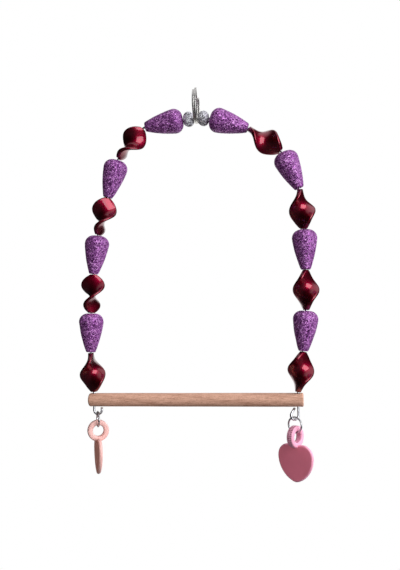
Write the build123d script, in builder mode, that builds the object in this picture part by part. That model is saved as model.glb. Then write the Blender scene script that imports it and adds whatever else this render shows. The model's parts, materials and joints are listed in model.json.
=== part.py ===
import math
import os
from build123d import *

os.makedirs("parts", exist_ok=True)

# Arch wire, in millimetres like every length here
wire_d = 1.6
bend_reach = 2.5  # from the corner of a bend to where the wire is straight again
min_turn = 0.05  # degrees, below which two runs of wire count as one

# Play between pieces
bore_play = 0.35  # all round the wire inside a bead
bead_gap = 0.3  # between one bead and the next along the wire
ring_play = 0.3  # between a hanging ring and the wire it hangs on
ring_side_gap = 0.35  # between the split ring and the bead on each side of it
perch_play = 0.15  # all round the wire inside the perch

# Split ring: flat wire wound side by side, single at the top and double below
ring_od = 25.0
ring_band = 1.9
ring_leaf = 1.0
ring_leaf_gap = 0.55
ring_edge = 0.3
ring_single = 90.0  # degrees at the top where only one leaf passes

# Silver bead: a short barrel
silver_length = 7.4
silver_d = 10.8
silver_end_d = 4.8

# Purple bead: a teardrop with its thick end uppermost
purple_length = 27.5
purple_d = 17.5
purple_crown_d = 5.5  # flat of the thick end, inside its round shoulder
purple_flare = 7.5  # degrees by which the side leans in where it leaves the shoulder
purple_tail_d = 6.4
purple_tail_edge = 1.0

# Red bead: an oval leaf twisted from end to end
red_length = 27.5
red_width = 18.6
red_thickness = 4.8
red_rim = 1.7  # radius of the leaf's rim at its widest
red_end_d = 5.0
red_end_flat = 0.3  # by which a bead's end is flatter than round
red_twist = 162.0
red_twist_lag = 14.0  # degrees by which the twist holds back towards both ends
red_sections = 16

# Beads from the top, and how far below level each one leans, on each side
bead_order = ["silver", "purple", "red", "purple", "red", "purple", "red", "purple", "red"]
leans = {
    "left": [0, 8.0, 49.4, 74.0, 75.0, 82.8, 86.5, 88.6, 94.6],
    "right": [0, 18.0, 37.6, 66.4, 85.3, 89.1, 90.7, 95.5, 98.6],
}
# Share of a red bead's length, from its top, where its leaf is seen flat from the front
red_flat_at = {
    "left": [0.376, 0.363, 0.225, 0.622],
    "right": [0.546, 0.550, 0.488, 0.457],
}

# Perch
perch_d = 9.5
perch_overhang = 3.6  # of the dowel past each wire hole
perch_edge = 0.8

# Wire eyes under the perch: turn of the eye's plane, leg, radius and how far it wraps
eye_turn = {"left": 0.0, "right": 32.0}
eye_leg = {"left": 2.6, "right": 5.4}
eye_radius = {"left": 2.75, "right": 3.0}
eye_wrap = {"left": 180.0, "right": 220.0}
eye_end_gap = 0.6  # from the free end of the wire to the perch

# Jump rings
jump_room = 4.0  # free height inside a jump ring, past the wire eye and the charm's ring
jump_wire_d = 1.2
jump_slit = 0.4

# Heart charms: a flat heart with a thick ring set square across its notch
charm_turn = {"left": 66.0, "right": 35.0}
heart_width = 28.0
heart_height = 25.6
heart_thickness = 3.0
heart_notch = 2.4
heart_notch_round = 1.6
heart_tip = 2.2
heart_band = 0.8  # flat left round the heart between its two rounded edges
charm_ring_id = 7.8
charm_ring_wall = 3.6
charm_ring_width = 4.8
charm_ring_edge = 1.2
charm_ring_sink = 2.6  # of the ring below the tops of the heart's lobes

sides = {"left": -1, "right": 1}
wire_r = wire_d / 2
bore_r = wire_r + bore_play
silver_bulge = (silver_d - silver_end_d) / 2
silver_arc = (silver_length**2 / 4 + silver_bulge**2) / (2 * silver_bulge)
purple_shoulder = (purple_d - purple_crown_d) / 2

# Length of each bead, then the flat radius and edge rounding of its upper and lower end
silver_end = (silver_end_d / 2, silver_arc)
purple_top = (purple_crown_d / 2, purple_shoulder)
purple_tail = (purple_tail_d / 2 - purple_tail_edge, purple_tail_edge)
red_tip_r = (red_width - red_end_d) ** 2 / (2 * red_length)  # of the leaf's oval outline at its ends
red_end = (red_end_d / 2, red_tip_r)
beads = {
    "silver": (silver_length, silver_end, silver_end),
    "purple": (purple_length, purple_top, purple_tail),
    "red": (red_length, red_end, red_end),
}

# The frame's origin is inside the top of the split ring, where a hook bears
ring_inner_r = ring_od / 2 - ring_band
ring_stack = 2 * ring_leaf + ring_leaf_gap
hang_z = wire_r + ring_play - 2 * ring_inner_r


def setback(end, half_turn):
    """Room that a bead end needs so that it stays on its own side of a bend."""
    flat, edge = end
    angle = math.radians(abs(half_turn))
    return (flat + edge * math.sin(angle)) * math.tan(angle) - edge * (1 - math.cos(angle)) + bead_gap / 2


def run_direction(side, lean):
    """Direction of the wire on one side, going down from the top."""
    angle = math.radians(lean)
    return Vector(sides[side] * math.cos(angle), 0, -math.sin(angle))


def thread_beads(side):
    """Place the beads of one side end to end and find the corners of the wire."""
    corner = Vector(0, 0, hang_z)
    lead = ring_stack / 2 + ring_side_gap
    side_leans = leans[side] + [90]
    next_kinds = bead_order[1:] + bead_order[-1:]  # the perch leaves the last bead its own room
    counts = {}
    placed = []
    corners = []
    for kind, next_kind, lean, next_lean in zip(bead_order, next_kinds, side_leans, side_leans[1:]):
        length, top_end, low_end = beads[kind]
        down = run_direction(side, lean)
        half_turn = (next_lean - lean) / 2
        counts[kind] = counts.get(kind, 0) + 1
        across = Vector(0, 1, 0).cross(-down)
        plane = Plane(origin=corner + down * lead, x_dir=across, z_dir=-down)
        placed.append((kind, counts[kind], plane))
        corner = corner + down * (lead + length + setback(low_end, half_turn))
        if abs(next_lean - lean) > min_turn:
            corners.append((corner, abs(next_lean - lean)))
        lead = setback(beads[next_kind][1], half_turn)
    return placed, corners, corner, corner.Z - lead


threaded = {side: thread_beads(side) for side in sides}
hole_x = {side: threaded[side][2].X for side in sides}
perch_top = min(threaded[side][3] for side in sides)
perch_z = perch_top - perch_d / 2
perch_low = perch_top - perch_d
for side in sides:
    print(side, "bare wire above the perch", round(threaded[side][3] - perch_top, 3), "mm")


# Perch, a dowel along X with an upright hole for the wire near each end
perch_start = hole_x["left"] - perch_overhang
perch_length = hole_x["right"] + perch_overhang - perch_start
with BuildPart() as perch:
    with BuildSketch(Plane.YZ.offset(perch_start)):
        with Locations((0, perch_z)):
            Circle(perch_d / 2)
    extrude(amount=perch_length)
    fillet(perch.edges().filter_by(GeomType.CIRCLE), perch_edge)
    with Locations(*[(hole_x[side], 0, perch_z) for side in sides]):
        Cylinder(wire_r + perch_play, perch_d, mode=Mode.SUBTRACT)
perch.part.label = "perch"
export_step(perch.part, "parts/perch.step")


def eye_points(side):
    """Foot of the leg, lowest point, end of the bend and free end of one wire eye."""
    turn = math.radians(eye_turn[side])
    inward = Vector(-sides[side] * math.cos(turn), -math.sin(turn), 0)
    up = Vector(0, 0, 1)
    radius = eye_radius[side]
    foot = Vector(hole_x[side], 0, perch_low - eye_leg[side])
    centre = foot + inward * radius
    wrap = math.radians(eye_wrap[side])
    bend_end = centre - inward * (radius * math.cos(wrap)) - up * (radius * math.sin(wrap))
    heading = inward * math.sin(wrap) - up * math.cos(wrap)
    free_end = bend_end + heading * ((perch_low - eye_end_gap - bend_end.Z) / heading.Z)
    return foot, centre - up * radius, bend_end, free_end


# Arch wire, one piece from eye to eye
eyes = {side: eye_points(side) for side in sides}
left_corners = list(reversed(threaded["left"][1]))
right_corners = threaded["right"][1]
bends = left_corners + right_corners
wire_points = [eyes["left"][0]] + [corner for corner, turn in bends] + [eyes["right"][0]]
wire_radii = [bend_reach / math.tan(math.radians(turn / 2)) for corner, turn in bends]
with BuildPart() as arch_wire:
    with BuildLine() as route:
        Line(eyes["left"][3], eyes["left"][2])
        ThreePointArc(eyes["left"][2], eyes["left"][1], eyes["left"][0])
        FilletPolyline(*wire_points, radius=wire_radii)
        ThreePointArc(eyes["right"][0], eyes["right"][1], eyes["right"][2])
        Line(eyes["right"][2], eyes["right"][3])
    wire_start = Plane(origin=eyes["left"][3], z_dir=eyes["left"][2] - eyes["left"][3])
    with BuildSketch(wire_start):
        Circle(wire_r)
    sweep(path=route.wire())
arch_wire.part.label = "arch_wire"
export_step(arch_wire.part, "parts/arch_wire.step")
wire_length = route.wire().length
wire_ratio = arch_wire.part.volume / (math.pi * wire_r**2 * wire_length)
print("arch wire", round(wire_length, 1), "mm long, volume over section times length", round(wire_ratio, 4))


# Split ring: a leaf on one face, a crossing at the top and a leaf on the other face
ring_mid_r = ring_inner_r + ring_band / 2
ring_centre_z = -ring_inner_r
leaf_x = (ring_leaf + ring_leaf_gap) / 2
half_single = ring_single / 2


def ring_point(angle, x):
    """Point on the ring's middle line, its angle measured from the top towards the front."""
    turn = math.radians(angle)
    return Vector(x, -ring_mid_r * math.sin(turn), ring_centre_z + ring_mid_r * math.cos(turn))


def ring_heading(angle):
    """Direction of the ring's middle line at an angle from the top."""
    turn = math.radians(angle)
    return Vector(0, -math.cos(turn), -math.sin(turn))


# The crossing is two arcs that leave the leaves smoothly and meet level at its middle
cross_sin = math.sin(math.radians(half_single))
cross_cos = math.cos(math.radians(half_single))
cross_y = ring_mid_r * cross_sin
cross_rise = (math.sqrt(cross_y**2 + (cross_sin * leaf_x) ** 2) - cross_y * cross_cos) / cross_sin
cross_middle = Vector(0, 0, ring_centre_z + ring_mid_r * cross_cos + cross_rise)
leaf_angles = (half_single, 180, 360 - half_single)
with BuildPart() as split_ring:
    with BuildLine() as coil:
        first_leaf = ThreePointArc(*[ring_point(angle, -leaf_x) for angle in leaf_angles])
        way_up = TangentArc(first_leaf @ 1, cross_middle, tangent=ring_heading(-half_single))
        up_middle = way_up @ 0.5
        down_middle = (-up_middle.X, -up_middle.Y, up_middle.Z)
        ThreePointArc(cross_middle, down_middle, ring_point(half_single, leaf_x))
        last_leaf = ThreePointArc(*[ring_point(angle, leaf_x) for angle in leaf_angles])
    with BuildSketch(Plane(origin=first_leaf @ 0, x_dir=(1, 0, 0), z_dir=first_leaf % 0)):
        RectangleRounded(ring_leaf, ring_band, ring_edge)
    sweep(path=coil.wire())
split_ring.part.label = "split_ring"
export_step(split_ring.part, "parts/split_ring.step")
gap_steps = 40
shares = [step / gap_steps for step in range(gap_steps + 1)]
leaf_gaps = [(first_leaf @ a - last_leaf @ b).length - ring_leaf for a in shares for b in shares]
print("split ring least gap between its leaves", round(min(leaf_gaps), 3), "mm")


def section_plane(plane):
    """Plane of a bead's profile, with its radius along X and its axis along Y."""
    return Plane(origin=plane.origin, x_dir=plane.x_dir, z_dir=-plane.y_dir)


def silver_bead(plane):
    """A barrel on the wire, rounded from end to end."""
    end_r = silver_end_d / 2
    with BuildPart() as bead:
        with BuildSketch(section_plane(plane)):
            with BuildLine():
                Polyline((end_r, -silver_length), (0, -silver_length), (0, 0), (end_r, 0))
                ThreePointArc((end_r, 0), (silver_d / 2, -silver_length / 2), (end_r, -silver_length))
            make_face()
        revolve(axis=Axis(plane.origin, plane.z_dir))
        with Locations(plane.offset(-silver_length / 2)):
            Cylinder(bore_r, silver_length, mode=Mode.SUBTRACT)
    return bead.part


def purple_bead(plane):
    """A teardrop: a round shoulder, a gently bowed side that leaves it smoothly, a blunt tail."""
    centre = Vector(purple_crown_d / 2, -purple_shoulder)
    tail = (purple_tail_d / 2, -purple_length)
    flare = math.radians(purple_flare)
    halfway = (math.pi / 2 - flare) / 2
    shoulder_mid = centre + Vector(math.cos(halfway), math.sin(halfway)) * purple_shoulder
    shoulder_end = centre + Vector(math.cos(flare), -math.sin(flare)) * purple_shoulder
    with BuildPart() as bead:
        with BuildSketch(section_plane(plane)) as profile:
            with BuildLine():
                Polyline(tail, (0, -purple_length), (0, 0), (centre.X, 0))
                ThreePointArc((centre.X, 0), shoulder_mid, shoulder_end)
                TangentArc(shoulder_end, tail, tangent=(-math.sin(flare), -math.cos(flare)))
            make_face()
            fillet(profile.vertices().sort_by_distance(tail)[0], purple_tail_edge)
        revolve(axis=Axis(plane.origin, plane.z_dir))
        with Locations(plane.offset(-purple_length / 2)):
            Cylinder(bore_r, purple_length, mode=Mode.SUBTRACT)
    return bead.part


def rim_start(half_width, half_thickness, rim):
    """Where an oval's flat arc across the leaf runs smoothly into the tight arc of its rim."""
    rim_x = half_width - rim
    face_r = (rim_x**2 + half_thickness**2 - rim**2) / (2 * (half_thickness - rim))
    slope = math.atan2(face_r - half_thickness, rim_x)
    return rim_x + rim * math.cos(slope), rim * math.sin(slope)


def red_turn(share):
    """Turn of the leaf about the wire, in radians, at a share of its length from the top."""
    return math.radians(red_twist * share - red_twist_lag * math.sin(2 * math.pi * share))


def red_bead(plane, flat_at):
    """A leaf with an oval outline, turned about the wire from end to end and most in its middle."""
    end_width = red_end_d / 2
    end_thickness = red_end_d / 2 - red_end_flat
    end_rim = end_thickness**2 / end_width
    with BuildPart() as bead:
        for step in range(red_sections + 1):
            share = (1 - math.cos(math.pi * step / red_sections)) / 2
            swell = math.sin(math.pi * step / red_sections)
            half_width = end_width + (red_width / 2 - end_width) * swell
            half_thickness = end_thickness + (red_thickness / 2 - end_thickness) * swell
            x, y = rim_start(half_width, half_thickness, end_rim + (red_rim - end_rim) * swell)
            turn = red_turn(flat_at) - red_turn(share)
            leaf_dir = plane.x_dir * math.cos(turn) + plane.y_dir * math.sin(turn)
            level = plane.offset(-share * red_length)
            with BuildSketch(Plane(origin=level.origin, x_dir=leaf_dir, z_dir=level.z_dir)):
                with BuildLine():
                    ThreePointArc((x, -y), (half_width, 0), (x, y))
                    ThreePointArc((x, y), (0, half_thickness), (-x, y))
                    ThreePointArc((-x, y), (-half_width, 0), (-x, -y))
                    ThreePointArc((-x, -y), (0, -half_thickness), (x, -y))
                make_face()
        loft()
        with Locations(plane.offset(-red_length / 2)):
            Cylinder(bore_r, red_length, mode=Mode.SUBTRACT)
    return bead.part


# Beads, each at rest on its own run of the wire
for side in sides:
    for kind, number, plane in threaded[side][0]:
        if kind == "silver":
            bead_part = silver_bead(plane)
            name = f"{side}_silver_bead"
        elif kind == "purple":
            bead_part = purple_bead(plane)
            name = f"{side}_purple_bead_{number}"
        else:
            bead_part = red_bead(plane, red_flat_at[side][number - 1])
            name = f"{side}_red_bead_{number}"
        bead_part.label = name
        export_step(bead_part, f"parts/{name}.step")
        middle = plane.origin - plane.z_dir * (beads[kind][0] / 2)
        print("axis", name, *[round(v, 4) for v in (*middle, *plane.z_dir)])


# Jump rings, hanging in the wire eyes
jump_wire_r = jump_wire_d / 2
jump_mid_r = (wire_d + charm_ring_wall + jump_room + jump_wire_d) / 2
slit_angle = math.degrees(jump_slit / jump_mid_r)


def charm_plane(side, z):
    """Level plane under one eye, with X across the heart and along the charm ring's axis."""
    turn = math.radians(charm_turn[side])
    low_point = eyes[side][1]
    across = (math.cos(turn), -math.sin(turn), 0)
    return Plane(origin=(low_point.X, low_point.Y, z), x_dir=across, z_dir=(0, 0, 1))


def jump_ring(plane):
    """A wire ring, upright in the plane's X and Z, cut through at one side."""
    upright = Plane(origin=plane.origin, x_dir=plane.x_dir, z_dir=-plane.y_dir)
    with BuildPart() as ring:
        with BuildSketch(plane):
            with Locations((jump_mid_r, 0)):
                Circle(jump_wire_r)
        revolve(axis=Axis(plane.origin, upright.z_dir), revolution_arc=360 - slit_angle)
    return ring.part


def heart_charm(plane):
    """A pillowed heart under a thick ring, moulded in one piece."""
    upright = Plane(origin=plane.origin, x_dir=plane.x_dir, z_dir=-plane.y_dir)
    across = Plane(origin=plane.origin, x_dir=plane.y_dir, z_dir=plane.x_dir)
    half_width = heart_width / 2
    lobe_r = half_width + heart_notch - math.sqrt(2 * half_width * heart_notch)
    lobe_top = charm_ring_sink - charm_ring_id / 2 - charm_ring_wall
    lobe_x = half_width - lobe_r
    lobe_y = lobe_top - lobe_r
    with BuildPart() as charm:
        with BuildSketch(upright) as outline:
            with BuildLine():
                lobe = ThreePointArc((0, lobe_top - heart_notch), (lobe_x, lobe_top), (half_width, lobe_y))
                TangentArc(lobe @ 1, (0, lobe_top - heart_height), tangent=(0, -1))
                mirror(about=Plane.YZ)
            make_face()
            fillet(outline.vertices().sort_by(Axis.Y)[0], heart_tip)
            fillet(outline.vertices().sort_by_distance((0, lobe_top - heart_notch))[0], heart_notch_round)
        extrude(amount=heart_thickness / 2, both=True)
        flats = charm.faces().filter_by(Axis(plane.origin, plane.y_dir))
        fillet(flats.edges(), (heart_thickness - heart_band) / 2)
        with BuildSketch(across):
            Circle(charm_ring_id / 2)
        extrude(amount=heart_width, both=True, mode=Mode.SUBTRACT)
        with BuildSketch(upright):
            with Locations((0, (charm_ring_id + charm_ring_wall) / 2)):
                RectangleRounded(charm_ring_width, charm_ring_wall, charm_ring_edge)
        revolve(axis=Axis(plane.origin, plane.x_dir))
    return charm.part


# A charm's ring rests with the corners of its band on the curve of the jump ring
corner_reach = jump_mid_r - jump_wire_r - ring_play - charm_ring_edge
band_inset = charm_ring_width / 2 - charm_ring_edge
seat_drop = math.sqrt(corner_reach**2 - band_inset**2) + charm_ring_edge
for side in sides:
    jump_z = eyes[side][1].Z + wire_r + ring_play + jump_wire_r - jump_mid_r
    ring = jump_ring(charm_plane(side, jump_z))
    ring.label = f"{side}_jump_ring"
    export_step(ring, f"parts/{side}_jump_ring.step")
    charm_z = jump_z - seat_drop - charm_ring_id / 2
    heart = heart_charm(charm_plane(side, charm_z))
    heart.label = f"{side}_heart_charm"
    export_step(heart, f"parts/{side}_heart_charm.step")
    heights = (jump_z, jump_z - jump_mid_r, charm_z)
    print("eye", side, *[round(v, 4) for v in (*eyes[side][1], *heights)])
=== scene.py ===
import json
import math

import bmesh
import bpy
import numpy as np
from mathutils import Matrix, Vector


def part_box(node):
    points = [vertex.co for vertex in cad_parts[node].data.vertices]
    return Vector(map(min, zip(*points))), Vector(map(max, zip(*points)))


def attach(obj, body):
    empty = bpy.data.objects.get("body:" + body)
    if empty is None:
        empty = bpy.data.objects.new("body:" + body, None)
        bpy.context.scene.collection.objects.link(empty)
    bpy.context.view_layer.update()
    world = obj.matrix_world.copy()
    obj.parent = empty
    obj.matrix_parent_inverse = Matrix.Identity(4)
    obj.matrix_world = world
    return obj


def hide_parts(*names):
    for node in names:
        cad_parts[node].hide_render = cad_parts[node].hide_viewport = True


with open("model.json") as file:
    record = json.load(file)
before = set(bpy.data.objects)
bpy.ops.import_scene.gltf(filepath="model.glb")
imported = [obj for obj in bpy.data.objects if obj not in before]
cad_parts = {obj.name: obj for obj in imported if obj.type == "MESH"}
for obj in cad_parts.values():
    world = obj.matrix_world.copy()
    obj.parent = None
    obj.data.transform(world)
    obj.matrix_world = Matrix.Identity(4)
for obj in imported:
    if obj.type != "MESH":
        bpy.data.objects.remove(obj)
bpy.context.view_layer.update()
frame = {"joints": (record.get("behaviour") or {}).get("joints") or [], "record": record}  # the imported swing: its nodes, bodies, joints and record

mm = 0.001
weldReach = 0.002 * mm  # points nearer than this are joined
upward = np.array([0, 0, 1.0])
sides = {"left": -1, "right": 1}
beadNumbers = range(1, 5)  # of the purple and the red beads on each side
joints = {joint["name"]: joint for joint in frame["joints"]}
bodyOf = {node: body for body, nodes in frame["record"]["behaviour"]["bodies"].items() for node in nodes}


# Shader sockets and materials

def plug(tree, socket, value):
    # a value of the tree is linked, a number or a colour is set on the socket itself
    if isinstance(value, Value):
        tree.links.new(value.socket, socket)
    elif socket.type == "RGBA":
        socket.default_value = (*value[:3], 1)
    else:
        socket.default_value = value


class Value:
    # a socket in a node tree; an operator on it adds a Math node
    def __init__(self, tree, socket):
        self.tree = tree
        self.socket = socket

    def math(self, operation, first, second):
        node = self.tree.nodes.new("ShaderNodeMath")
        node.operation = operation
        plug(self.tree, node.inputs[0], first)
        plug(self.tree, node.inputs[1], second)
        return Value(self.tree, node.outputs[0])

    def __add__(self, other):
        return self.math("ADD", self, other)

    def __radd__(self, other):
        return self.math("ADD", other, self)

    def __sub__(self, other):
        return self.math("SUBTRACT", self, other)

    def __rsub__(self, other):
        return self.math("SUBTRACT", other, self)

    def __mul__(self, other):
        return self.math("MULTIPLY", self, other)

    def __gt__(self, other):
        return self.math("GREATER_THAN", self, other)

    def __pow__(self, other):
        return self.math("POWER", self, other)

    def larger(self, other):
        return self.math("MAXIMUM", self, other)


class Finish:
    # one material, or the world, and the nodes that make it
    def __init__(self, owner):
        self.owner = owner
        owner.use_nodes = True
        self.tree = owner.node_tree
        self.tree.nodes.clear()

    def node(self, kind, settings, sockets, out=0):
        made = self.tree.nodes.new("ShaderNode" + kind)
        for key, value in settings.items():
            if key == "stops":
                fillRamp(made.color_ramp, value)
            else:
                setattr(made, key, value)
        for key, value in sockets.items():
            plug(self.tree, made.inputs[key], value)
        return Value(self.tree, made.outputs[out]) if made.outputs else None

    def place(self):
        return self.node("TexCoord", {}, {}, "Object")

    def parts(self, point):
        return [self.node("SeparateXYZ", {}, {0: point}, k) for k in range(3)]

    def channels(self, colour):
        return [self.node("SeparateColor", {}, {0: colour}, k) for k in range(3)]

    def mapped(self, point, scale):
        return self.node("Mapping", {}, {"Vector": point, "Scale": scale})

    def noise(self, point, scale, detail=2.0, rough=0.5, out=0):
        sockets = {"Vector": point, "Scale": scale, "Detail": detail, "Roughness": rough}
        return self.node("TexNoise", {}, sockets, out)

    def cells(self, point, scale, out="Color"):
        return self.node("TexVoronoi", {}, {"Vector": point, "Scale": scale}, out)

    def mark(self, name):
        return self.node("Attribute", {"attribute_name": name}, {}, "Fac")

    def ramp(self, value, stops):
        return self.node("ValToRGB", {"stops": stops}, {0: value})

    def shade(self, value, low, high):
        # a smooth step from 0 at low to 1 at high
        return self.node("MapRange", {"interpolation_type": "SMOOTHSTEP"}, {0: value, 1: low, 2: high})

    def mix(self, share, first, second):
        return self.node("Mix", {"data_type": "RGBA"}, {0: share, 6: first, 7: second}, 2)

    def vector(self, operation, first, second=(0, 0, 0)):
        return self.node("VectorMath", {"operation": operation}, {0: first, 1: second})

    def bump(self, height, distance, strength):
        return self.node("Bump", {}, {"Height": height, "Distance": distance, "Strength": strength})

    def surface(self, sockets):
        shader = self.node("BsdfPrincipled", {}, sockets)
        self.node("OutputMaterial", {}, {0: shader})
        return self.owner


def fillRamp(ramp, stops):
    # stops are pairs of a place and a colour
    while len(ramp.elements) < len(stops):
        ramp.elements.new(1.0)
    for element, (place, colour) in zip(ramp.elements, stops):
        element.position = place
        element.color = (*colour, 1)


def newFinish(name):
    return Finish(bpy.data.materials.new(name))


# Meshes from grids of points

def unit(vectors):
    return vectors / np.linalg.norm(vectors, axis=-1, keepdims=True)


def addPiece(name, points, node, material, wrapRows=True, weld=False, marks=None):
    # quads between neighbouring rows and columns of a grid; columns always wrap round
    rows, columns = points.shape[:2]
    index = np.arange(rows * columns).reshape(rows, columns)
    index = np.hstack([index, index[:, :1]])
    if wrapRows:
        index = np.vstack([index, index[:1]])
    quads = np.stack([index[:-1, :-1], index[:-1, 1:], index[1:, 1:], index[1:, :-1]], axis=-1).reshape(-1, 4)
    flat = points.reshape(-1, 3)
    a, b, c, d = (flat[quads[:, k]] - flat.mean(axis=0) for k in range(4))
    volume = (a * (np.cross(b, c) + np.cross(c, d))).sum()
    if volume < 0:
        quads = quads[:, ::-1]  # faces point outwards
    mesh = bpy.data.meshes.new(name)
    mesh.vertices.add(len(flat))
    mesh.vertices.foreach_set("co", flat.astype(np.float32).ravel())
    mesh.loops.add(quads.size)
    mesh.loops.foreach_set("vertex_index", quads.astype(np.int32).ravel())
    mesh.polygons.add(len(quads))
    mesh.polygons.foreach_set("loop_start", np.arange(0, quads.size, 4, dtype=np.int32))
    mesh.update(calc_edges=True)
    for mark, values in (marks or {}).items():
        layer = mesh.attributes.new(mark, "FLOAT", "POINT")
        layer.data.foreach_set("value", values.astype(np.float32).ravel())
    if weld:
        shell = bmesh.new()
        shell.from_mesh(mesh)
        bmesh.ops.remove_doubles(shell, verts=shell.verts, dist=weldReach)
        shell.to_mesh(mesh)
        shell.free()
    mesh.polygons.foreach_set("use_smooth", np.ones(len(mesh.polygons), bool))
    mesh.materials.append(material)
    piece = bpy.data.objects.new(name, mesh)
    bpy.context.scene.collection.objects.link(piece)
    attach(piece, bodyOf[node])
    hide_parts(node)


def beadPlace(node):
    # middle of a bead, and its directions across the front, away from the front and up its bore
    joint = joints[node + "_spin"]
    up = unit(np.array(joint["axis"]))
    across = unit(np.cross([0, 1, 0], up))
    return np.array(joint["pos_m"]), across, np.cross(up, across), up


def placed(local, place):
    # points in millimetres along a place's three directions, moved into the swing's frame
    middle, across, away, up = place
    return middle + mm * (local[..., :1] * across + local[..., 1:2] * away + local[..., 2:] * up)


def arc(centre, radius, start, stop, count=48):
    # circle of a radius about a centre, from one bearing to another
    turn = np.linspace(start, stop, count)
    return np.stack([centre[0] + radius * np.cos(turn), centre[1] + radius * np.sin(turn)], axis=1)


def resampled(line, step):
    # points an even step apart along a bent line
    travel = np.r_[0, np.cumsum(np.linalg.norm(np.diff(line, axis=0), axis=1))]
    at = np.linspace(0, travel[-1], int(travel[-1] / step) + 1)
    return np.stack([np.interp(at, travel, line[:, k]) for k in range(line.shape[1])], axis=1)


def softened(line, step, width):
    # mean of the points within a width along the line, which rounds its corners
    window = int(width / step / 2) * 2 + 1
    fine = np.pad(resampled(line, step), ((window // 2, window // 2), (0, 0)), mode="edge")
    kernel = np.ones(window) / window
    return np.stack([np.convolve(fine[:, k], kernel, "valid") for k in range(line.shape[1])], axis=1)


def ripple(points, size, count, seed):
    # mean of sine waves of about one length in fixed random directions, from -1 to 1
    rng = np.random.default_rng(seed)
    waves = unit(rng.normal(size=(count, 3))) * 2 * np.pi / size
    return np.sin(points @ waves.T + rng.uniform(0, 2 * np.pi, count)).mean(axis=-1)


def tube(path, section, lead):
    # a closed section carried along a path, square to it, with its first direction near the lead direction
    along = unit(np.gradient(path, axis=0))
    first = unit(lead - (along * lead).sum(axis=-1, keepdims=True) * along)
    second = np.cross(along, first)
    ring = path[:, None] + section[None, :, :1] * first[:, None] + section[None, :, 1:] * second[:, None]
    start = np.repeat(path[:1, None], len(section), axis=1)
    stop = np.repeat(path[-1:, None], len(section), axis=1)
    return np.concatenate([start, ring, stop])


def roundSection(radius, count):
    turn = np.arange(count) * 2 * np.pi / count
    return radius * np.stack([np.cos(turn), np.sin(turn)], axis=1)


def roundedBox(width, height, edge, count):
    # rectangle with its corners rounded, as points round its edge
    quarter = np.pi / 2
    flatX, flatY = width - 2 * edge, height - 2 * edge
    turns = [(0.5, 0.5, 0), (-0.5, 0.5, 1), (-0.5, -0.5, 2), (0.5, -0.5, 3)]
    corners = [arc((x * flatX, y * flatY), edge, k * quarter, (k + 1) * quarter, count) for x, y, k in turns]
    return np.vstack(corners)


# Glitter beads: the silver barrels and the purple drops

purpleDrop = {
    "length": 27.5,
    "width": 17.32,
    "crown": 5.5,  # flat of the thick end
    "flare": 7.5,  # degrees by which the side leans in where it leaves the shoulder
    "tail": 6.4,
    "bore": 2.4,
    "round": 0.9,  # width over which corners are softened
    "around": 164,
    "step": 0.33,
    "grain": 0.05,  # rough height of the flakes
    "lump": 0.16,  # slow unevenness of the coat
    "lumpSize": 9.0,
    "seedStep": 10,  # from one side's beads to the other's
}
silverBarrel = {
    "length": 7.4,
    "width": 10.7,
    "end": 4.8,
    "bore": 2.4,
    "round": 0.5,
    "around": 96,
    "step": 0.3,
    "grain": 0.07,
    "lump": 0.16,
    "lumpSize": 3.2,
    "seed": 70,
}
glitterCoat = {
    "fineStep": 0.06,  # along the outline while its corners are softened
    "fade": 1.5,  # from the bore out to where the coat has its full height
    "flakeLimit": 1.8,  # times the grain
    "waves": 14,  # in the lumps
    "sunk": 0.3,  # share of a lump by which the coat lies under the outline
    "boreRows": 4,
}


def dropOutline(bead):
    # flat crown, round shoulder, a gently bowed side that leaves it smoothly, blunt tail
    shoulder = (bead["width"] - bead["crown"]) / 2
    flare = math.radians(bead["flare"])
    centre = np.array([bead["crown"] / 2, -shoulder])
    outward = np.array([math.cos(flare), -math.sin(flare)])
    leave = centre + shoulder * outward
    tail = np.array([bead["tail"] / 2, -bead["length"]])
    chord = tail - leave
    bow = math.acos(-chord @ [math.sin(flare), math.cos(flare)] / np.hypot(*chord))  # half the side's turn
    radius = np.hypot(*chord) / (2 * math.sin(bow))
    side = arc(leave - radius * outward, radius, -flare, -flare - 2 * bow)
    bore = bead["bore"] / 2
    return np.vstack([[[bore, 0]], arc(centre, shoulder, np.pi / 2, -flare), side[1:], [[bore, tail[1]]]])


def barrelOutline(bead):
    # one arc from end to end
    bulge = (bead["width"] - bead["end"]) / 2
    radius = (bead["length"] ** 2 / 4 + bulge**2) / (2 * bulge)
    centre = np.array([bead["width"] / 2 - radius, -bead["length"] / 2])
    swing = math.asin(bead["length"] / 2 / radius)
    ends = [[bead["bore"] / 2, 0]], [[bead["bore"] / 2, -bead["length"]]]
    return np.vstack([ends[0], arc(centre, radius, swing, -swing), ends[1]])


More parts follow.
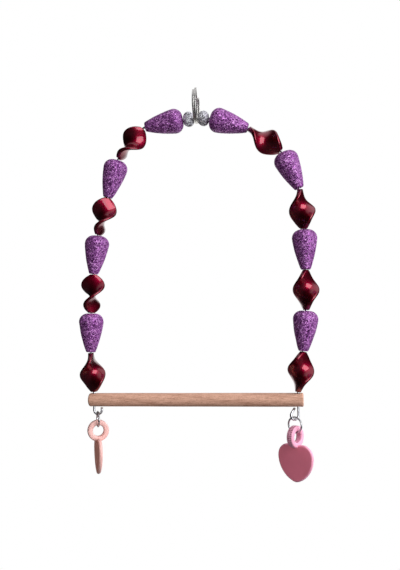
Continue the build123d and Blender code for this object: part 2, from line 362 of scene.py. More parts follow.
def glitterBead(bead, outline, seed):
    # outline turned about the bore, each point moved along its normal by the flakes and lumps, with the
    # bore inside
    line = resampled(softened(outline, glitterCoat["fineStep"], bead["round"]), bead["step"])
    slope = unit(np.gradient(line, axis=0))
    normal = np.stack([-slope[:, 1], slope[:, 0]], axis=1)
    turn = np.arange(bead["around"]) * 2 * np.pi / bead["around"]
    cos, sin = np.cos(turn), np.sin(turn)
    bore = bead["bore"] / 2
    limit = glitterCoat["flakeLimit"]
    rng = np.random.default_rng(seed)
    smooth = np.stack([line[:, :1] * cos, line[:, :1] * sin, line[:, 1:] + 0 * turn], axis=-1)
    fade = np.clip((line[:, 0] - bore) / glitterCoat["fade"], 0, 1)[:, None]
    flakes = np.clip(rng.normal(0, 1, smooth.shape[:2]), -limit, limit) * bead["grain"]
    waves = ripple(smooth, bead["lumpSize"], glitterCoat["waves"], seed)
    lumps = (waves - glitterCoat["sunk"]) * bead["lump"]
    shift = (flakes + lumps) * fade
    radius = line[:, :1] + normal[:, :1] * shift
    height = line[:, 1:] + normal[:, 1:] * shift + bead["length"] / 2
    outer = np.stack([radius * cos, radius * sin, height], axis=-1)
    share = np.linspace(1, 0, glitterCoat["boreRows"] + 2)[1:-1, None]
    level = outer[:1, :, 2] + share * (outer[-1:, :, 2] - outer[:1, :, 2])
    inner = np.stack([0 * share + bore * cos, 0 * share + bore * sin, level], axis=-1)
    return np.concatenate([outer, inner])


glitterLooks = {
    "purple": {
        "flake": 1350.0,  # flakes in a metre
        "clump": 420.0,
        "tilt": 0.7,  # how strongly a flake leans
        "tones": [
            (0.0, (0.060, 0.009, 0.070)),
            (0.22, (0.150, 0.028, 0.170)),
            (0.50, (0.320, 0.085, 0.345)),
            (0.78, (0.520, 0.210, 0.530)),
            (1.0, (0.820, 0.540, 0.780)),
        ],
        "metal": 0.5,
    },
    "silver": {
        "flake": 900.0,
        "clump": 330.0,
        "tilt": 0.7,
        "tones": [
            (0.0, (0.150, 0.144, 0.155)),
            (0.25, (0.350, 0.340, 0.360)),
            (0.55, (0.640, 0.628, 0.660)),
            (0.82, (0.840, 0.830, 0.860)),
            (1.0, (0.950, 0.945, 0.960)),
        ],
        "metal": 0.4,
    },
}
flakeMix = {
    "own": 0.66,  # share of a flake's own tone
    "clump": 0.3,
    "lift": 0.17,
    "metalFrom": 0.35,  # flakes above this are metal
    "rough": 0.28,
    "roughSpan": 0.3,
    "specular": 0.4,
}


def glitterFinish(name, look):
    # every flake has its own tone, tilt and gloss, and darker clumps lie between them
    finish = newFinish(name)
    point = finish.place()
    flake = finish.cells(point, look["flake"])
    red, green, blue = finish.channels(flake)
    clump = finish.noise(point, look["clump"], 3.0, 0.6)
    tone = red * flakeMix["own"] + (clump - 0.5) * flakeMix["clump"] + flakeMix["lift"]
    colour = finish.ramp(tone, look["tones"])
    tilt = finish.vector("MULTIPLY", finish.vector("SUBTRACT", flake, (0.5, 0.5, 0.5)), (look["tilt"],) * 3)
    normal = finish.node("NewGeometry", {}, {}, "Normal")
    leaning = finish.vector("NORMALIZE", finish.vector("ADD", normal, tilt))
    return finish.surface({
        "Base Color": colour,
        "Metallic": (green > flakeMix["metalFrom"]) * look["metal"],
        "Roughness": blue * flakeMix["roughSpan"] + flakeMix["rough"],
        "Normal": leaning,
        "Specular IOR Level": flakeMix["specular"],
    })


purpleGlitter = glitterFinish("purpleGlitter", glitterLooks["purple"])
silverGlitter = glitterFinish("silverGlitter", glitterLooks["silver"])
for sideIndex, side in enumerate(sides):
    node = f"{side}_silver_bead"
    shape = glitterBead(silverBarrel, barrelOutline(silverBarrel), silverBarrel["seed"] + sideIndex)
    addPiece(f"{side}SilverBarrel", placed(shape, beadPlace(node)), node, silverGlitter)
    for number in beadNumbers:
        node = f"{side}_purple_bead_{number}"
        seed = purpleDrop["seedStep"] * sideIndex + number
        shape = glitterBead(purpleDrop, dropOutline(purpleDrop), seed)
        addPiece(f"{side}PurpleDrop{number}", placed(shape, beadPlace(node)), node, purpleGlitter)
print("glitter beads done")


# Twisted red leaf beads

twistLeaf = {
    "length": 27.5,
    "width": 18.2,
    "thick": 4.75,
    "rim": 1.65,  # radius of the leaf's edge
    "square": 0.75,  # below 1 the edge is squarer than round
    "end": 4.6,
    "endFlat": 0.3,
    "bore": 2.4,
    "blunt": 3.6,  # power of the outline: 2 is a parabola, more is squarer
    "twist": 140.0,
    "lag": 20.7,  # degrees by which the twist holds back towards both ends
    "middle": {  # turn of each leaf's middle
        "left": [-26.3, -32.6, -54.0, 32.0],
        "right": [10.1, 11.0, -2.7, -9.6],
    },
    "rows": 120,
    "faceColumns": 40,
    "rimColumns": 12,
}


def leafTurn(leaf, share):
    # a steady twist about the middle and a sine, so that it is quick there and slow towards the ends
    return np.radians(leaf["twist"] * (0.5 - share) + leaf["lag"] * np.sin(2 * np.pi * share))


def leafBead(leaf, middle):
    # at each level a flat lens with thick rims; half width, half thickness and rim swell from end to end by
    # one less a power of the distance from the middle, and the lens turns about the bore
    bearing = np.linspace(0, np.pi, leaf["rows"])[:, None]
    share = (1 - np.cos(bearing)) / 2
    swell = 1 - np.abs(1 - 2 * share) ** leaf["blunt"]
    endWide = leaf["end"] / 2
    endThick = endWide - leaf["endFlat"]
    endRim = endThick**2 / endWide
    wide = endWide + (leaf["width"] / 2 - endWide) * swell
    thick = endThick + (leaf["thick"] / 2 - endThick) * swell
    rim = endRim + (leaf["rim"] - endRim) * swell
    face = np.sin(np.linspace(np.pi / 2, -np.pi / 2, leaf["faceColumns"]))[None]  # from one rim to the other
    bend = np.linspace(np.pi / 2, -np.pi / 2, leaf["rimColumns"] + 2)[None, 1:-1]
    faceX = face * (wide - rim)
    faceY = rim + (thick - rim) * (1 - face**2)
    rimX = wide - rim + rim * np.cos(bend) ** leaf["square"]
    rimY = rim * np.sign(bend) * np.abs(np.sin(bend)) ** leaf["square"]
    x = np.hstack([faceX, -rimX, -faceX, rimX])
    y = np.hstack([faceY, rimY, -faceY, -rimY])
    turn = math.radians(middle) + leafTurn(leaf, share)
    z = leaf["length"] * (0.5 - share) + 0 * x
    outer = np.stack([x * np.cos(turn) - y * np.sin(turn), x * np.sin(turn) + y * np.cos(turn), z], axis=-1)
    ends = outer[[-1, 0]]
    inward = leaf["bore"] / 2 / np.linalg.norm(ends[..., :2], axis=-1, keepdims=True)
    bore = np.concatenate([ends[..., :2] * inward, ends[..., 2:]], axis=-1)
    edge = np.concatenate([np.abs(x) / wide, np.zeros((2, x.shape[1]))])
    return np.concatenate([outer, bore]), edge


leafLook = {
    "deep": (0.220, 0.0016, 0.0170),
    "base": (0.280, 0.0022, 0.0240),
    "bright": (0.390, 0.0052, 0.0400),
    "rim": (0.180, 0.0018, 0.0140),
    "clouds": 120.0,  # in a metre
    "cloudFade": (0.30, 0.62),
    "stirs": 60.0,
    "stirReach": 0.008,  # metres
    "swirls": 260.0,
    "swirlFade": (0.48, 0.75),
    "swirlShare": 0.25,
    "dust": 3200.0,
    "dustFrom": 0.93,
    "dustShare": 0.1,
    "rimFade": (0.86, 1.0),
    "rimShare": 0.7,
    "rough": 0.38,
    "roughSwirl": 0.10,
    "coatRough": 0.03,
    "coatIor": 1.5,
    "waveHeight": 0.06,  # millimetres
    "waveShare": 0.12,
}


def leafFinish():
    # pearl garnet: cloudy depth under a clear coat, with fine pearl dust, darker at the rims
    finish = newFinish("garnetPearl")
    point = finish.place()
    cloud = finish.noise(point, leafLook["clouds"], 3.0, 0.55)
    drift = finish.noise(point, leafLook["stirs"], out="Color")
    stir = finish.vector("MULTIPLY", drift, (leafLook["stirReach"],) * 3)
    swirl = finish.noise(finish.vector("ADD", point, stir), leafLook["swirls"], 2.0)
    dust = finish.channels(finish.cells(point, leafLook["dust"]))[0]
    depth = finish.mix(finish.shade(cloud, *leafLook["cloudFade"]), leafLook["deep"], leafLook["base"])
    swirled = finish.shade(swirl, *leafLook["swirlFade"]) * leafLook["swirlShare"]
    pearl = finish.mix(swirled, depth, leafLook["bright"])
    dusted = finish.mix((dust > leafLook["dustFrom"]) * leafLook["dustShare"], pearl, leafLook["bright"])
    edge = finish.shade(finish.mark("edge"), *leafLook["rimFade"]) * leafLook["rimShare"]
    return finish.surface({
        "Base Color": finish.mix(edge, dusted, leafLook["rim"]),
        "Metallic": 1.0,
        "Roughness": swirl * leafLook["roughSwirl"] + leafLook["rough"],
        "Coat Weight": 1.0,
        "Coat Roughness": leafLook["coatRough"],
        "Coat IOR": leafLook["coatIor"],
        "Normal": finish.bump(cloud, leafLook["waveHeight"] * mm, leafLook["waveShare"]),
    })


garnetPearl = leafFinish()
for side in sides:
    for number, middle in enumerate(twistLeaf["middle"][side], start=1):
        node = f"{side}_red_bead_{number}"
        shape, edge = leafBead(twistLeaf, middle)
        points = placed(shape, beadPlace(node))
        addPiece(f"{side}TwistLeaf{number}", points, node, garnetPearl, marks={"edge": edge})
print("twisted leaves done")


# Perch

perchDowel = {
    "leftRound": 1.5,  # sanded edge of each end
    "rightRound": 0.6,
    "leftDish": 0.25,  # by which the middle of each end lies deeper
    "rightDish": 0.1,
    "wobble": 0.07,  # hand-sanded unevenness
    "wobbleSize": 14.0,
    "stretch": 0.4,  # the unevenness is longer along the dowel
    "waves": 10,
    "seed": 5,
    "around": 72,
    "step": 0.7,
    "hole": 1.0,  # radius of the wire's holes
    "holeDepth": 0.5,
    "dipReach": 1.6,  # of the dip round a hole, in radii
    "holeDarkReach": 2.2,
}
wireEye = {
    "radius": {"left": 2.75, "right": 3.0},
    "wrap": {"left": 180.0, "right": 220.0},
    "endGap": 0.6,
}


def eyeFrame(side):
    # lowest point of a wire eye, and the level direction from its hole inwards
    joint = joints[f"{side}_jump_ring_swing"]
    inward = -sides[side] * np.array(joint["axis"])
    return np.array(joint["pos_m"]), unit(inward)


def holeX(side):
    low, inward = eyeFrame(side)
    return (low - inward * wireEye["radius"][side] * mm)[0]


def dowel(perch, holes):
    # outline of the dowel turned about its length, with a shallow dip round each wire hole
    low, high = (np.array(corner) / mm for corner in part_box("perch"))
    radius = (high[2] - low[2]) / 2 - perch["wobble"]
    length = high[0] - low[0]
    first, last = perch["leftRound"], perch["rightRound"]
    left = arc((first, radius - first), first, np.pi, np.pi / 2)
    right = arc((length - last, radius - last), last, np.pi / 2, 0)
    outline = np.vstack([[[perch["leftDish"], 0]], left, right, [[length - perch["rightDish"], 0]]])
    line = resampled(outline, perch["step"])
    turn = np.arange(perch["around"]) * 2 * np.pi / perch["around"]
    x = line[:, :1] + low[0] + 0 * turn
    y = line[:, 1:] * np.cos(turn)
    z = line[:, 1:] * np.sin(turn)
    smooth = np.stack([x, y, z], axis=-1)
    waves = ripple(smooth * [perch["stretch"], 1, 1], perch["wobbleSize"], perch["waves"], perch["seed"])
    swell = 1 + perch["wobble"] * waves / radius
    fromHole = np.min([np.hypot(x - hole / mm, y) for hole in holes], axis=0) / perch["hole"]
    upright = np.abs(z) > radius / 2  # the top and the underside, where the holes come out
    swell = swell - perch["holeDepth"] * np.clip(perch["dipReach"] - fromHole, 0, 1) * upright / radius
    points = np.stack([x, y * swell, z * swell + (low[2] + high[2]) / 2], axis=-1)
    return points * mm, np.clip(perch["holeDarkReach"] - fromHole, 0, 1) * upright


beechLook = {
    "pale": (0.800, 0.475, 0.335),
    "mid": (0.660, 0.365, 0.250),
    "dark": (0.380, 0.178, 0.112),
    "fleck": (0.280, 0.118, 0.068),
    "holeDark": (0.08, 0.04, 0.025),  # darker tone round the wire's holes
    "holeDarkShare": 0.75,
    "slow": (14, 90, 90),  # grains in a metre along X, Y and Z
    "streaks": (150, 2100, 2100),
    "fibres": (1000, 3000, 3000),
    "rays": (430, 2400, 2400),
    "slant": (0.115, 0.35),  # of the growth layers along X and Y
    "waver": 0.0052,
    "layers": 260,  # in a metre
    "layerFade": (0.70, 1.0),
    "layerShare": 0.35,
    "stops": (0.36, 0.47, 0.59),  # of the tone, from dark to pale
    "streakShare": 0.55,
    "fibreShare": 0.45,
    "rayFade": (0.10, 0.24),
    "rayShare": 0.55,
    "rough": 0.55,
    "roughFibre": 0.2,
    "specular": 0.35,
    "grainHeight": 0.12,  # millimetres
    "grainShare": 0.6,
    "fibreRise": 0.6,
    "streakRise": 0.4,
    "layerSink": 0.2,
}


def beechFinish(middle):
    # growth layers cut on the slant, fine streaks along the dowel, short dark rays and pale fibres
    finish = newFinish("beech")
    point = finish.vector("SUBTRACT", finish.place(), tuple(middle))
    slow = finish.noise(finish.mapped(point, beechLook["slow"]), 1.0, 2.0)
    x, y, z = finish.parts(point)
    slantX, slantY = beechLook["slant"]
    layer = (z + x * slantX + y * slantY + slow * beechLook["waver"]) * beechLook["layers"]
    ring = finish.node("Math", {"operation": "PINGPONG"}, {0: layer, 1: 1.0})
    line = finish.shade(ring, *beechLook["layerFade"])
    streak = finish.noise(finish.mapped(point, beechLook["streaks"]), 1.0, 3.0, 0.6)
    fibre = finish.noise(finish.mapped(point, beechLook["fibres"]), 1.0, 2.0, 0.6)
    ray = finish.cells(finish.mapped(point, beechLook["rays"]), 1.0, "Distance")
    tone = streak * beechLook["streakShare"] + fibre * beechLook["fibreShare"]
    tones = [beechLook[name] for name in ("dark", "mid", "pale")]
    wood = finish.ramp(tone, list(zip(beechLook["stops"], tones)))
    layered = finish.mix(line * beechLook["layerShare"], wood, beechLook["dark"])
    flecks = (1 - finish.shade(ray, *beechLook["rayFade"])) * beechLook["rayShare"]
    flecked = finish.mix(flecks, layered, beechLook["fleck"])
    raised = fibre * beechLook["fibreRise"] + streak * beechLook["streakRise"]
    height = raised - line * beechLook["layerSink"]
    return finish.surface({
        # the wood is darker round the wire's holes, by the hole mark
        "Base Color": finish.mix(finish.mark("hole") * beechLook["holeDarkShare"], flecked, beechLook["holeDark"]),
        "Roughness": beechLook["rough"] + fibre * beechLook["roughFibre"],
        "Specular IOR Level": beechLook["specular"],
        "Normal": finish.bump(height, beechLook["grainHeight"] * mm, beechLook["grainShare"]),
    })


perchLow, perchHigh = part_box("perch")
beech = beechFinish((perchLow + perchHigh) / 2)
shape, holes = dowel(perchDowel, [holeX(side) for side in sides])
addPiece("perchDowel", shape, "perch", beech, wrapRows=False, weld=True, marks={"hole": holes})
print("perch done")


# Arch wire, jump rings and split ring

archWire = {
    "radius": 0.8,
    "reach": 2.5,  # from the corner of a bend to where the wire is straight
    "sides": 18,
    "bendPoints": 14,
    "eyePoints": 40,
}
jumpRing = {
    "middle": 5.2,
    "radius": 0.6,
    "slit": 0.4,
    "slitTurn": 0.35,  # radians from level to the slit
    "sides": 18,
    "around": 96,
}
splitRing = {
    "outside": 25.0,
    "band": 1.88,
    "leaf": 1.2,
    "leafGap": 0.1,
    "edge": 0.28,
    "single": 90.0,  # degrees at the top where one leaf passes
    "around": 260,
    "corner": 6,
}
beadOrder = ["silver_bead"]
beadOrder += [f"{kind}_bead_{number}" for number in beadNumbers for kind in ("purple", "red")]


def crossing(first, second):
    # where two lines in the plane of the arch meet, each given by a point and a direction
    spans = np.stack([first[1][[0, 2]], -second[1][[0, 2]]], axis=1)
    share = np.linalg.solve(spans, (second[0] - first[0])[[0, 2]])[0]
    return first[0] + share * first[1]


def wireCorners(side):
    # bends of the wire from the top down: where each bead's bore meets the next, and the last meets its hole
    lines = [beadPlace(f"{side}_{bead}") for bead in beadOrder]
    lines = [(place[0], place[3]) for place in lines]
    lines.append((np.array([holeX(side), 0, 0]), upward))
    return [crossing(first, second) for first, second in zip(lines, lines[1:])]


def eyePath(side):
    # from the foot of a leg round the eye, then straight to the free end under the perch
    low, inward = eyeFrame(side)
    radius = wireEye["radius"][side] * mm
    turn = np.radians(np.linspace(0, wireEye["wrap"][side], archWire["eyePoints"]))[:, None]
    bend = low + upward * radius - inward * radius * np.cos(turn) - upward * radius * np.sin(turn)
    heading = inward * math.sin(turn[-1, 0]) - upward * math.cos(turn[-1, 0])
    rise = perchLow.z - wireEye["endGap"] * mm - bend[-1, 2]
    return np.vstack([bend, bend[-1] + heading * rise / heading[2]])


def wirePath():
    # straight runs joined by quadratic curves at the bends, with an eye at each end
    corners = np.array(wireCorners("left")[::-1] + wireCorners("right"))
    leftEye, rightEye = eyePath("left"), eyePath("right")
    before = np.vstack([leftEye[:1], corners[:-1]])
    after = np.vstack([corners[1:], rightEye[:1]])
    start = corners + unit(before - corners) * archWire["reach"] * mm
    stop = corners + unit(after - corners) * archWire["reach"] * mm
    t = np.linspace(0, 1, archWire["bendPoints"])[None, :, None]
    bends = (1 - t) ** 2 * start[:, None] + 2 * t * (1 - t) * corners[:, None] + t**2 * stop[:, None]
    return np.vstack([leftEye[::-1], bends.reshape(-1, 3), rightEye])


def jumpPath(side):
    # circle in the upright plane of the charm's swing axis, open by the slit
    joint = joints[f"{side}_heart_charm_swing"]
    across = unit(np.array(joint["axis"]))
    radius = jumpRing["middle"] * mm
    centre = np.array(joint["pos_m"]) + upward * radius
    gap = jumpRing["slit"] / jumpRing["middle"]
    turn = np.linspace(gap / 2, 2 * np.pi - gap / 2, jumpRing["around"])[:, None] + jumpRing["slitTurn"]
    path = centre + radius * (np.cos(turn) * across + np.sin(turn) * upward)
    return path, np.cross(across, upward)


def coilPath(ring):
    # almost two turns of a circle across X, changing sides smoothly while it passes the top
    middle = ring["outside"] / 2 - ring["band"] / 2
    offset = (ring["leaf"] + ring["leafGap"]) / 2
    half = ring["single"] / 2
    turn = np.linspace(half, 720 - half, ring["around"])
    share = np.clip((turn - (360 - half)) / ring["single"], 0, 1)
    x = offset * (2 * share**2 * (3 - 2 * share) - 1)
    top = ring["outside"] / 2 - ring["band"]
    angle = np.radians(turn)
    return mm * np.stack([x, -middle * np.sin(angle), middle * np.cos(angle) - top], axis=1)


steelLooks = {
    "wireSteel": {"tone": (0.80, 0.80, 0.81), "rough": 0.20, "clouds": 500.0},  # in a metre
    "ringSteel": {"tone": (0.88, 0.86, 0.81), "rough": 0.26, "clouds": 350.0},
}
steelSkin = {
    "scratches": (6000, 6000, 700),  # in a metre along X, Y and Z
    "scratchHeight": 0.02,  # millimetres
    "scratchShare": 0.12,
    "dark": 0.7,  # share of the tone where the polish is cloudy
    "cloudFade": (0.35, 0.62),
    "roughCloud": 0.18,
}


def steelFinish(name):
    # drawn metal: fine upright scratches and a slightly cloudy polish
    look = steelLooks[name]
    finish = newFinish(name)
    point = finish.place()
    cloud = finish.noise(point, look["clouds"], 3.0, 0.6)
    scratch = finish.noise(finish.mapped(point, steelSkin["scratches"]), 1.0, 2.0)
    dark = tuple(steelSkin["dark"] * channel for channel in look["tone"])
    return finish.surface({
        "Base Color": finish.mix(finish.shade(cloud, *steelSkin["cloudFade"]), dark, look["tone"]),
        "Metallic": 1.0,
        "Roughness": cloud * steelSkin["roughCloud"] + look["rough"],
        "Normal": finish.bump(scratch, steelSkin["scratchHeight"] * mm, steelSkin["scratchShare"]),
    })


wireSteel = steelFinish("wireSteel")
ringSteel = steelFinish("ringSteel")
wireSection = roundSection(archWire["radius"] * mm, archWire["sides"])
wireShape = tube(wirePath(), wireSection, np.array([0, 1.0, 0]))
addPiece("archWireRun", wireShape, "arch_wire", wireSteel, wrapRows=False, weld=True)
for side in sides:
    path, lead = jumpPath(side)
    shape = tube(path, roundSection(jumpRing["radius"] * mm, jumpRing["sides"]), lead)
    addPiece(f"{side}JumpRing", shape, f"{side}_jump_ring", wireSteel, wrapRows=False, weld=True)
ringSection = roundedBox(splitRing["leaf"], splitRing["band"], splitRing["edge"], splitRing["corner"]) * mm
coil = tube(coilPath(splitRing), ringSection, np.array([1.0, 0, 0]))
addPiece("splitRingCoil", coil, "split_ring", ringSteel, wrapRows=False, weld=True)
print("wire and rings done")


# Heart charms

heartCharm = {
    "width": 28.0,
    "height": 25.6,
    "thick": 3.0,
    "edge": 1.15,  # radius of the rounded edge
    "crown": 0.22,  # by which the face swells over its middle
    "notch": 2.4,
    "tipRound": 4.0,
    "ringHole": 7.8,
    "ringWall": 3.6,
    "ringWidth": 4.8,
    "ringEdge": 1.2,
    "sink": 2.6,  # of the ring below the tops of the lobes
    "dots": 34,  # dimples round the rim, in two rows
    "dotDepth": 0.4,
    "dotRow": 0.85,  # of each row from the rim's middle
    "dotSteep": 1.6,
    "dotCut": 0.1,
    "rowSteep": 2,
    "rimFrom": 0.9,  # share of the ring's half wall where its rim begins
    "rimSteep": 20,
    "around": 272,
    "ringCorner": 12,  # points on each corner of the ring's section
    "ringStep": 0.17,
    "arcPoints": 90,  # on each arc of the heart
    "fineStep": 0.05,  # along the heart's outline while its corners are softened
    "outlinePoints": 240,
    "faceRings": 21,
    "edgeRings": 9,
}


def heartOutline(charm):
    # two round lobes, and two flatter arcs that leave them smoothly and meet at the tip
    half = charm["width"] / 2
    lobe = half + charm["notch"] - math.sqrt(2 * half * charm["notch"])
    top = charm["sink"] - charm["ringHole"] / 2 - charm["ringWall"]
    centre = np.array([half - lobe, top - lobe])
    drop = centre[1] - (top - charm["height"])
    sweep = (half**2 + drop**2) / (2 * half)  # radius of the lower arc, whose centre is level with the lobe's
    notchAngle = math.atan2(top - charm["notch"] - centre[1], -centre[0])
    upper = arc(centre, lobe, notchAngle, 0, charm["arcPoints"])
    tipAngle = math.asin(min(1, drop / sweep))
    lower = arc((half - sweep, centre[1]), sweep, 0, -tipAngle, charm["arcPoints"])
    right = np.vstack([upper, lower[1:]])
    left = right[::-1] * [-1, 1]
    return np.vstack([right, left[1:-1]])


def rounded(outline, width, count, step):
    # closed outline with its corners softened over a width, as evenly spaced points
    loop = resampled(np.vstack([outline, outline[:1]]), step)[:-1]
    window = int(width / step)
    kernel = np.ones(window) / window
    wrapped = np.vstack([loop[-window:], loop, loop[:window]])
    soft = np.stack([np.convolve(wrapped[:, k], kernel, "same") for k in range(2)], axis=1)[window:-window]
    even = resampled(np.vstack([soft, soft[:1]]), step)
    return even[np.linspace(0, len(even) - 1, count + 1).astype(int)[:-1]]


def heartShell(charm):
    # rings from the middle of the front face out to the outline, round the edge and back, as points across,
    # up and through the thickness
    line = rounded(heartOutline(charm), charm["tipRound"], charm["outlinePoints"], charm["fineStep"])
    along = unit(np.roll(line, -1, axis=0) - np.roll(line, 1, axis=0))
    inward = np.stack([along[:, 1], -along[:, 0]], axis=1)
    centre = np.array([0, line[:, 1].mean()])
    if ((centre - line) * inward).sum() < 0:
        inward = -inward
    half = charm["thick"] / 2
    edge = charm["edge"]
    share = np.linspace(0, 1, charm["faceRings"] + 1)[:-1, None, None]
    inset = line + inward * edge
    faceFlat = centre + share * (inset - centre)
    faceHigh = half - charm["crown"] * share[..., 0] ** 2 + 0 * line[:, 0]
    bend = np.linspace(np.pi / 2, 0, charm["edgeRings"])[:, None, None]
    edgeFlat = line + inward * edge * (1 - np.cos(bend))
    edgeHigh = half - charm["crown"] - edge + edge * np.sin(bend[..., 0]) + 0 * line[:, 0]
    flat = np.concatenate([faceFlat, edgeFlat])
    high = np.concatenate([faceHigh, edgeHigh])
    front = np.concatenate([flat, high[..., None]], axis=-1)
    back = front[::-1] * [1, 1, -1]
    # painted light: the rim mark is 0 on the faces and 1 at the outer edge, where the plastic takes its lit
    # colour
    rim = np.concatenate([0 * faceHigh, np.sin(np.pi / 2 - bend[..., 0]) + 0 * line[:, 0]])
    return np.concatenate([front, back]), {"rim": np.concatenate([rim, rim[::-1]])}


def charmRing(charm):
    # rounded band turned about the ring's axis, with two rows of dimples round its rim
    section = roundedBox(charm["ringWall"], charm["ringWidth"], charm["ringEdge"], charm["ringCorner"])
    section = resampled(np.vstack([section, section[:1]]), charm["ringStep"])[:-1]
    middle = (charm["ringHole"] + charm["ringWall"]) / 2
    turn = (np.arange(charm["around"]) * 2 * np.pi / charm["around"])[:, None]
    radius = middle + section[None, :, 0] + 0 * turn
    offset = section[None, :, 1] + 0 * turn
    outward = section[:, 0] / (charm["ringWall"] / 2)  # 1 at the outside of the ring
    onRim = np.clip((outward - charm["rimFrom"]) * charm["rimSteep"], 0, 1)[None]
    wave = np.clip(np.cos(turn * charm["dots"]) * charm["dotSteep"] - charm["dotCut"], 0, 1)
    rows = np.clip(1 - np.abs(np.abs(offset) - charm["dotRow"]) / charm["dotRow"], 0, 1)
    dots = wave * np.clip(rows * charm["rowSteep"], 0, 1) * onRim
    radius = radius - charm["dotDepth"] * dots
    points = np.stack([offset, radius * np.cos(turn), radius * np.sin(turn)], axis=-1)
    # painted light: the whole ring takes the plastic's lit colour
    return points, {"dots": dots, "rim": np.ones(dots.shape)}


# painted light: face is the plastic as shaded, rim the same plastic as lit; deep is a darker tone for the
# clouds and the dimples' painted shade
charmShadedAndLitTones = {
    "left": {"face": (0.960, 0.400, 0.310), "rim": (0.950, 0.560, 0.500), "deep": (0.660, 0.220, 0.170)},
    "right": {"face": (0.960, 0.250, 0.350), "rim": (0.950, 0.440, 0.590), "deep": (0.640, 0.130, 0.190)},
}
charmSkin = {
    "clouds": 90.0,  # in a metre
    "cloudFade": (0.68, 0.32),
    "cloudShare": 0.15,
    "peel": 2600.0,
    "peelHeight": 0.03,  # millimetres
    "peelShare": 0.5,
    "dimpleShade": 0.25,  # tone of the painted shade in the dimples, as a share of the deep colour
    "dimpleShadeShare": 0.9,
    "rough": 0.42,
    "roughCloud": 0.16,
    "specular": 0.4,
}


def charmFinish(side, look):
    # satin moulded plastic: painted light, the heart's rims and the whole ring in the lit colour and the
    # heart's faces in the shaded colour, soft cloudiness, a fine orange-peel skin and painted shade in the
    # dimples
    finish = newFinish(f"{side}CharmPlastic")
    point = finish.place()
    cloud = finish.noise(point, charmSkin["clouds"], 3.0, 0.55)
    peel = finish.noise(point, charmSkin["peel"], 2.0)
    # painted light: the lit colour on the rims and the ring, the shaded colour on the faces
    body = finish.mix(finish.mark("rim"), look["face"], look["rim"])
    cloudy = finish.shade(cloud, *charmSkin["cloudFade"]) * charmSkin["cloudShare"]
    clouded = finish.mix(cloudy, body, look["deep"])
    # painted shade: the dimples are darkened as if shade lay in them
    dimpleShade = tuple(charmSkin["dimpleShade"] * channel for channel in look["deep"])
    return finish.surface({
        "Base Color": finish.mix(finish.mark("dots") * charmSkin["dimpleShadeShare"], clouded, dimpleShade),
        "Roughness": charmSkin["rough"] + cloud * charmSkin["roughCloud"],
        "Specular IOR Level": charmSkin["specular"],
        "Normal": finish.bump(peel, charmSkin["peelHeight"] * mm, charmSkin["peelShare"]),
    })


for side in sides:
    node = f"{side}_heart_charm"
    joint = joints[f"{side}_heart_charm_swing"]
    across = unit(np.array(joint["axis"]))
    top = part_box(node)[1].z - (heartCharm["ringHole"] / 2 + heartCharm["ringWall"]) * mm
    middle = np.array([*joint["pos_m"][:2], top])
    place = (middle, across, np.cross(upward, across), upward)
    plastic = charmFinish(side, charmShadedAndLitTones[side])
    shape, marks = charmRing(heartCharm)
    addPiece(f"{side}CharmRing", placed(shape, place), node, plastic, marks=marks)
    shape, marks = heartShell(heartCharm)
    points = placed(shape[..., [0, 2, 1]], place)
    addPiece(f"{side}CharmHeart", points, node, plastic, wrapRows=False, weld=True, marks=marks)
print("charms done")


# Studio: paper sweep, room, lamps and camera

studio = {
    "floor": -0.62,
    "wall": 2.6,
    "curve": 0.9,
    "curvePoints": 24,
    "reach": 7.0,
    "paper": (0.93, 0.93, 0.93),
    "front": (0.07, 0.07, 0.073),  # what the floor towards the viewer gives back to the swing
    "paperFrom": (0.35, 0.70),  # how far from the swing the paper begins and is white all over
    "paperLeft": (-0.46, -0.30, -0.16),  # slope and fade of the white paper's sides behind the swing
    "paperRight": (0.175, 0.45, 0.15),
    "bright": (0.95, 0.95, 1.0),  # of the ceiling
    "dark": (0.012, 0.012, 0.013),
    "ceiling": (0.62, 1.0),  # heights between which the room grows bright
    "ceilingLean": 0.25,
}
lights = {
    "window": {
        "turn": 54.0,
        "rise": 14.0,
        "away": 1.3,
        "wide": 1.12,
        "tall": 1.4,
        "watts": 21.0,
        "tint": (0.94, 0.95, 1),
        "mirrored": True,  # whether gloss shows the lamp
    },
    "rear": {
        "turn": 108.0,
        "rise": 13.0,
        "away": 1.3,
        "wide": 1.7,
        "tall": 1.3,
        "watts": 14.0,
        "tint": (0.92, 0.94, 1),
        "mirrored": False,
    },
    "fill": {
        "turn": -35.0,
        "rise": 8.0,
        "away": 1.3,
        "wide": 1.2,
        "tall": 1.2,
        "watts": 4.4,
        "tint": (1, 1, 1),
        "mirrored": False,
    },
}
view = {
    "turn": 7.5,  # degrees to the right of straight in front
    "rise": -3.0,  # degrees above level
    "roll": 0.88,
    "away": 0.450,
    "target": (0, 0, -0.1401),
    "pixel": (198.7, 287.5),  # where the target lies in the picture
    "perPixel": 0.7006 * mm,  # at the target's distance
    "wide": 400,
    "tall": 570,
    "sensor": 36.0,  # millimetres, along the taller side of the picture
    "near": 0.02,
}


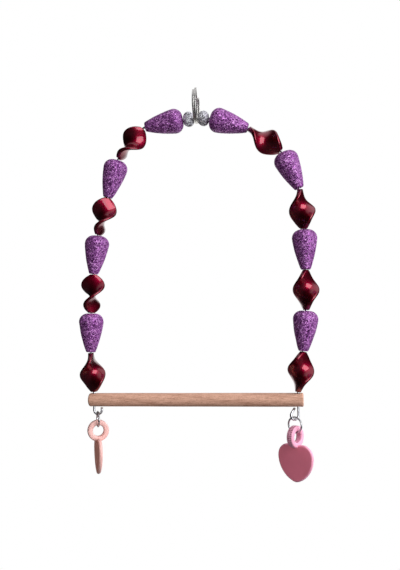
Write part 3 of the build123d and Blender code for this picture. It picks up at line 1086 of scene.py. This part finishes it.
def buildSweep():
    # floor, quarter-round and wall as one strip along X
    floor, wall, bend, reach = (studio[key] for key in ("floor", "wall", "curve", "reach"))
    curve = arc((wall - bend, floor + bend), bend, -np.pi / 2, 0, studio["curvePoints"])
    strip = np.vstack([[[-reach, floor]], curve, [[wall, reach / 2]]])
    ends = np.array([-reach, reach])
    x = ends[None] + 0 * strip[:, :1]
    points = np.stack([x, strip[:, :1] + 0 * ends, strip[:, 1:] + 0 * ends], axis=-1)
    mesh = bpy.data.meshes.new("studioSweep")
    index = np.arange(points.shape[0] * 2).reshape(-1, 2)
    quads = np.stack([index[:-1, 0], index[:-1, 1], index[1:, 1], index[1:, 0]], axis=-1)
    mesh.from_pydata(points.reshape(-1, 3).tolist(), [], quads.tolist())
    mesh.polygons.foreach_set("use_smooth", np.ones(len(quads), bool))
    sweep = bpy.data.objects.new("studioSweep", mesh)
    bpy.context.scene.collection.objects.link(sweep)
    finish = newFinish("sweepPaper")
    across, away = finish.parts(finish.place())[:2]
    paper = finish.shade(away, *studio["paperFrom"])
    for limit in ("paperLeft", "paperRight"):
        slope, outside, inside = studio[limit]
        paper = paper * finish.shade(across - away * slope, outside, inside)
    distance = (across * across + away * away) ** 0.5
    clear = finish.shade(distance, *studio["paperFrom"])  # of the swing's shadow
    camera, glossy, through = (
        finish.node("LightPath", {}, {}, f"Is {ray} Ray") for ray in ("Camera", "Glossy", "Transmission")
    )
    tone = finish.mix(paper.larger(camera), studio["front"], studio["paper"])
    white = (camera * clear).larger(glossy.larger(through) * paper)
    plain = finish.node("BsdfDiffuse", {}, {"Color": tone})
    glow = finish.node("Emission", {}, {"Color": (1, 1, 1), "Strength": 1.0})
    shader = finish.node("MixShader", {}, {0: white, 1: plain, 2: glow})
    finish.node("OutputMaterial", {}, {0: shader})
    mesh.materials.append(finish.owner)


def buildWorld():
    # dim room with a lighter ceiling, and plain paper to the camera
    world = bpy.data.worlds.new("room")
    bpy.context.scene.world = world
    finish = Finish(world)
    across, height = finish.parts(finish.node("TexCoord", {}, {}, "Generated"))[::2]
    ceiling = finish.shade(height + across * studio["ceilingLean"], *studio["ceiling"])
    tone = finish.mix(ceiling, studio["dark"], studio["bright"])
    seen = finish.node("LightPath", {}, {}, "Is Camera Ray")
    glow = finish.node("Background", {}, {"Color": finish.mix(seen, tone, (1, 1, 1)), "Strength": 1.0})
    finish.node("OutputWorld", {}, {0: glow})


def wayTo(spot):
    # direction from the swing, turned round from the front and raised
    turn, rise = math.radians(spot["turn"]), math.radians(spot["rise"])
    return Vector((math.sin(turn) * math.cos(rise), -math.cos(turn) * math.cos(rise), math.sin(rise)))


def addLight(name, light):
    # a soft rectangle aimed at the middle of the swing, which gloss shows only where it is mirrored
    way = wayTo(light)
    lamp = bpy.data.lights.new(name, "AREA")
    lamp.shape = "RECTANGLE"
    lamp.size = light["wide"]
    lamp.size_y = light["tall"]
    lamp.energy = light["watts"]
    lamp.color = light["tint"]
    holder = bpy.data.objects.new(name, lamp)
    holder.visible_camera = False
    holder.visible_glossy = light["mirrored"]
    holder.location = Vector(view["target"]) + way * light["away"]
    holder.rotation_euler = (-way).to_track_quat("-Z", "Y").to_euler()
    bpy.context.scene.collection.objects.link(holder)


def addCamera():
    # near the height of the swing's middle, a little to its right, with the picture's slight roll
    camera = bpy.data.cameras.new("viewer")
    camera.sensor_width = view["sensor"]
    camera.lens = view["sensor"] * view["away"] / (view["tall"] * view["perPixel"])
    camera.shift_x = (view["wide"] / 2 - view["pixel"][0]) / view["tall"]
    camera.shift_y = (view["pixel"][1] - view["tall"] / 2) / view["tall"]
    camera.clip_start = view["near"]
    holder = bpy.data.objects.new("viewer", camera)
    back = wayTo(view)
    aim = (-back).to_track_quat("-Z", "Y").to_matrix() @ Matrix.Rotation(math.radians(-view["roll"]), 3, "Z")
    holder.location = Vector(view["target"]) + back * view["away"]
    holder.rotation_euler = aim.to_euler()
    bpy.context.scene.collection.objects.link(holder)
    bpy.context.scene.camera = holder


buildSweep()
buildWorld()
for name, light in lights.items():
    addLight(name, light)
addCamera()
bpy.context.scene.view_settings.view_transform = "Standard"
print("studio done")
